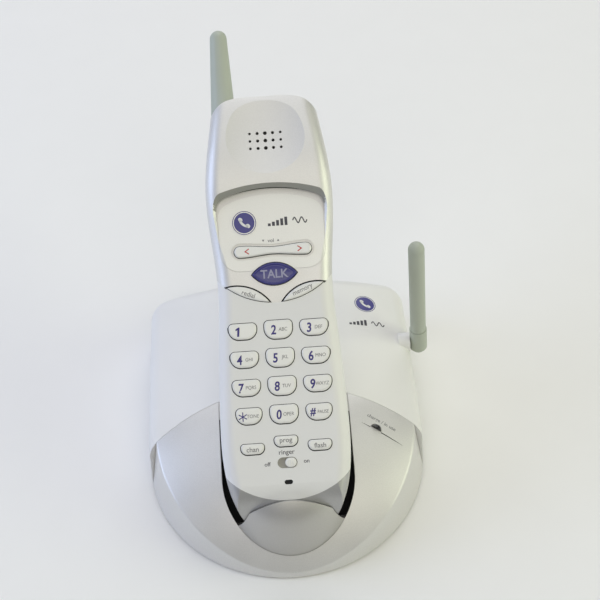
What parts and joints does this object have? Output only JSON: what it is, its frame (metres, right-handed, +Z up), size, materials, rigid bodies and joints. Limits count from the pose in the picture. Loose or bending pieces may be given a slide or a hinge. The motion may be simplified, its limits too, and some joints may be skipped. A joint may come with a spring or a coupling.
{
  "type": "cordless phone with base",
  "caption": "Cordless telephone handset with keypad, earpiece and stub aerial, leaning in the well of a low desk charging base with a fold-down aerial.",
  "frame": {"origin": "on the desk, under the middle of the whole set (handset resting in the base, both aerials up)", "axes": "+X to the right of the person who uses it, +Y away from them along the leaning handset, +Z up"},
  "size_m": [0.1385, 0.195, 0.1609],
  "materials": {
    "white_shell": "satin moulded plastic",
    "silver_shell": "pearly silver paint, satin",
    "grey_heel": "darker silver paint, satin",
    "panel_silver": "pearly silver plate",
    "aerial_grey": "satin grey-green plastic",
    "dark_plastic": "matt",
    "key_white": "satin",
    "key_blue": "satin",
    "rubber_dark": "matt",
    "rubber_grey": "matt",
    "board_green": "lacquered",
    "steel": "bright",
    "gold": "plated",
    "battery_wrap": "shrink sleeve",
    "badge_blue": "printed disc",
    "lens_dark": "dark lens"
  },
  "bodies": {
    "base": {"base_housing": "white_shell", "base_crescent_cover": "silver_shell", "base_cradle": "silver_shell", "base_bottom_cover": "white_shell", "base_charge_contacts": "gold", "base_feet": "rubber_dark", "base_screws": "steel", "base_line_jack": "dark_plastic", "base_power_jack": "dark_plastic", "base_indicator_lens": "lens_dark", "base_circuit_board": "board_green", "base_radio_shield": "steel", "base_aerial_pin": "steel"},
    "base_aerial": {"base_aerial": "aerial_grey", "base_aerial_knuckle": "aerial_grey"},
    "page_button": {"base_page_button": "key_white"},
    "handset": {"handset_front_shell": "white_shell", "handset_mask": "silver_shell", "handset_panel": "panel_silver", "handset_end_cap": "grey_heel", "handset_back_shell": "white_shell", "ringer_switch": "dark_plastic", "handset_keypad_mat": "rubber_grey", "handset_circuit_board": "board_green", "handset_battery": "battery_wrap", "handset_charge_plates": "gold", "handset_screws": "steel", "handset_aerial": "aerial_grey", "handset_earpiece": "dark_plastic", "handset_microphone": "steel", "handset_ringer": "dark_plastic", "handset_badge": "badge_blue", "handset_radio_shield": "steel"},
    "battery_door": {"handset_battery_door": "white_shell"},
    "volume_rocker": {"volume_rocker": "key_white"},
    "ringer_knob": {"ringer_knob": "key_white"},
    "digit_1_key": {"digit_1_key": "key_white"},
    "digit_2_key": {"digit_2_key": "key_white"},
    "digit_3_key": {"digit_3_key": "key_white"},
    "digit_4_key": {"digit_4_key": "key_white"},
    "digit_5_key": {"digit_5_key": "key_white"},
    "digit_6_key": {"digit_6_key": "key_white"},
    "digit_7_key": {"digit_7_key": "key_white"},
    "digit_8_key": {"digit_8_key": "key_white"},
    "digit_9_key": {"digit_9_key": "key_white"},
    "star_key": {"star_key": "key_white"},
    "digit_0_key": {"digit_0_key": "key_white"},
    "hash_key": {"hash_key": "key_white"},
    "channel_key": {"channel_key": "key_white"},
    "program_key": {"program_key": "key_white"},
    "flash_key": {"flash_key": "key_white"},
    "talk_key": {"talk_key": "key_blue"},
    "redial_key": {"redial_key": "key_white"},
    "memory_key": {"memory_key": "key_white"}
  },
  "joints": [
    {"name": "handset_lift", "type": "slide", "parent": "base", "child": "handset", "axis": [0, 0.7716, 0.6361], "range_m": [0, 0.09]},
    {"name": "base_aerial_hinge", "type": "hinge", "parent": "base", "child": "base_aerial", "pos_m": [0.0648, 0.01334, 0.028], "axis": [0.9986, 0, 0.0523], "range_deg": [-90, 90]},
    {"name": "page_button_press", "type": "slide", "parent": "base", "child": "page_button", "axis": [0, 0, 1], "range_m": [-0.001, 0], "stiffness_N_per_m": 500},
    {"name": "battery_door_slide", "type": "slide", "parent": "handset", "child": "battery_door", "axis": [0, -0.7716, -0.6361], "range_m": [0, 0.01]},
    {"name": "volume_rocker_tilt", "type": "hinge", "parent": "handset", "child": "volume_rocker", "pos_m": [-0.0038, 0.00441, 0.10747], "axis": [0, 0.7716, 0.6361], "range_deg": [-2.5, 2.5], "stiffness_Nm_per_rad": 0.05},
    {"name": "ringer_switch_slide", "type": "slide", "parent": "handset", "child": "ringer_knob", "axis": [1, 0, 0], "range_m": [-0.0031, 0]},
    {"name": "digit_1_key_press", "type": "slide", "parent": "handset", "child": "digit_1_key", "axis": [0, -0.6361, 0.7716], "range_m": [-0.0009, 0], "stiffness_N_per_m": 500},
    {"name": "digit_2_key_press", "type": "slide", "parent": "handset", "child": "digit_2_key", "axis": [0, -0.6361, 0.7716], "range_m": [-0.0009, 0], "stiffness_N_per_m": 500},
    {"name": "digit_3_key_press", "type": "slide", "parent": "handset", "child": "digit_3_key", "axis": [0, -0.6361, 0.7716], "range_m": [-0.0009, 0], "stiffness_N_per_m": 500},
    {"name": "digit_4_key_press", "type": "slide", "parent": "handset", "child": "digit_4_key", "axis": [0, -0.6361, 0.7716], "range_m": [-0.0009, 0], "stiffness_N_per_m": 500},
    {"name": "digit_5_key_press", "type": "slide", "parent": "handset", "child": "digit_5_key", "axis": [0, -0.6361, 0.7716], "range_m": [-0.0009, 0], "stiffness_N_per_m": 500},
    {"name": "digit_6_key_press", "type": "slide", "parent": "handset", "child": "digit_6_key", "axis": [0, -0.6361, 0.7716], "range_m": [-0.0009, 0], "stiffness_N_per_m": 500},
    {"name": "digit_7_key_press", "type": "slide", "parent": "handset", "child": "digit_7_key", "axis": [0, -0.6361, 0.7716], "range_m": [-0.0009, 0], "stiffness_N_per_m": 500},
    {"name": "digit_8_key_press", "type": "slide", "parent": "handset", "child": "digit_8_key", "axis": [0, -0.6361, 0.7716], "range_m": [-0.0009, 0], "stiffness_N_per_m": 500},
    {"name": "digit_9_key_press", "type": "slide", "parent": "handset", "child": "digit_9_key", "axis": [0, -0.6361, 0.7716], "range_m": [-0.0009, 0], "stiffness_N_per_m": 500},
    {"name": "star_key_press", "type": "slide", "parent": "handset", "child": "star_key", "axis": [0, -0.6361, 0.7716], "range_m": [-0.0009, 0], "stiffness_N_per_m": 500},
    {"name": "digit_0_key_press", "type": "slide", "parent": "handset", "child": "digit_0_key", "axis": [0, -0.6361, 0.7716], "range_m": [-0.0009, 0], "stiffness_N_per_m": 500},
    {"name": "hash_key_press", "type": "slide", "parent": "handset", "child": "hash_key", "axis": [0, -0.6361, 0.7716], "range_m": [-0.0009, 0], "stiffness_N_per_m": 500},
    {"name": "channel_key_press", "type": "slide", "parent": "handset", "child": "channel_key", "axis": [0, -0.6361, 0.7716], "range_m": [-0.0009, 0], "stiffness_N_per_m": 500},
    {"name": "program_key_press", "type": "slide", "parent": "handset", "child": "program_key", "axis": [0, -0.6361, 0.7716], "range_m": [-0.0009, 0], "stiffness_N_per_m": 500},
    {"name": "flash_key_press", "type": "slide", "parent": "handset", "child": "flash_key", "axis": [0, -0.6361, 0.7716], "range_m": [-0.0009, 0], "stiffness_N_per_m": 500},
    {"name": "talk_key_press", "type": "slide", "parent": "handset", "child": "talk_key", "axis": [0, -0.6361, 0.7716], "range_m": [-0.0009, 0], "stiffness_N_per_m": 500},
    {"name": "redial_key_press", "type": "slide", "parent": "handset", "child": "redial_key", "axis": [0, -0.6361, 0.7716], "range_m": [-0.0009, 0], "stiffness_N_per_m": 500},
    {"name": "memory_key_press", "type": "slide", "parent": "handset", "child": "memory_key", "axis": [0, -0.6361, 0.7716], "range_m": [-0.0009, 0], "stiffness_N_per_m": 500}
  ]
}
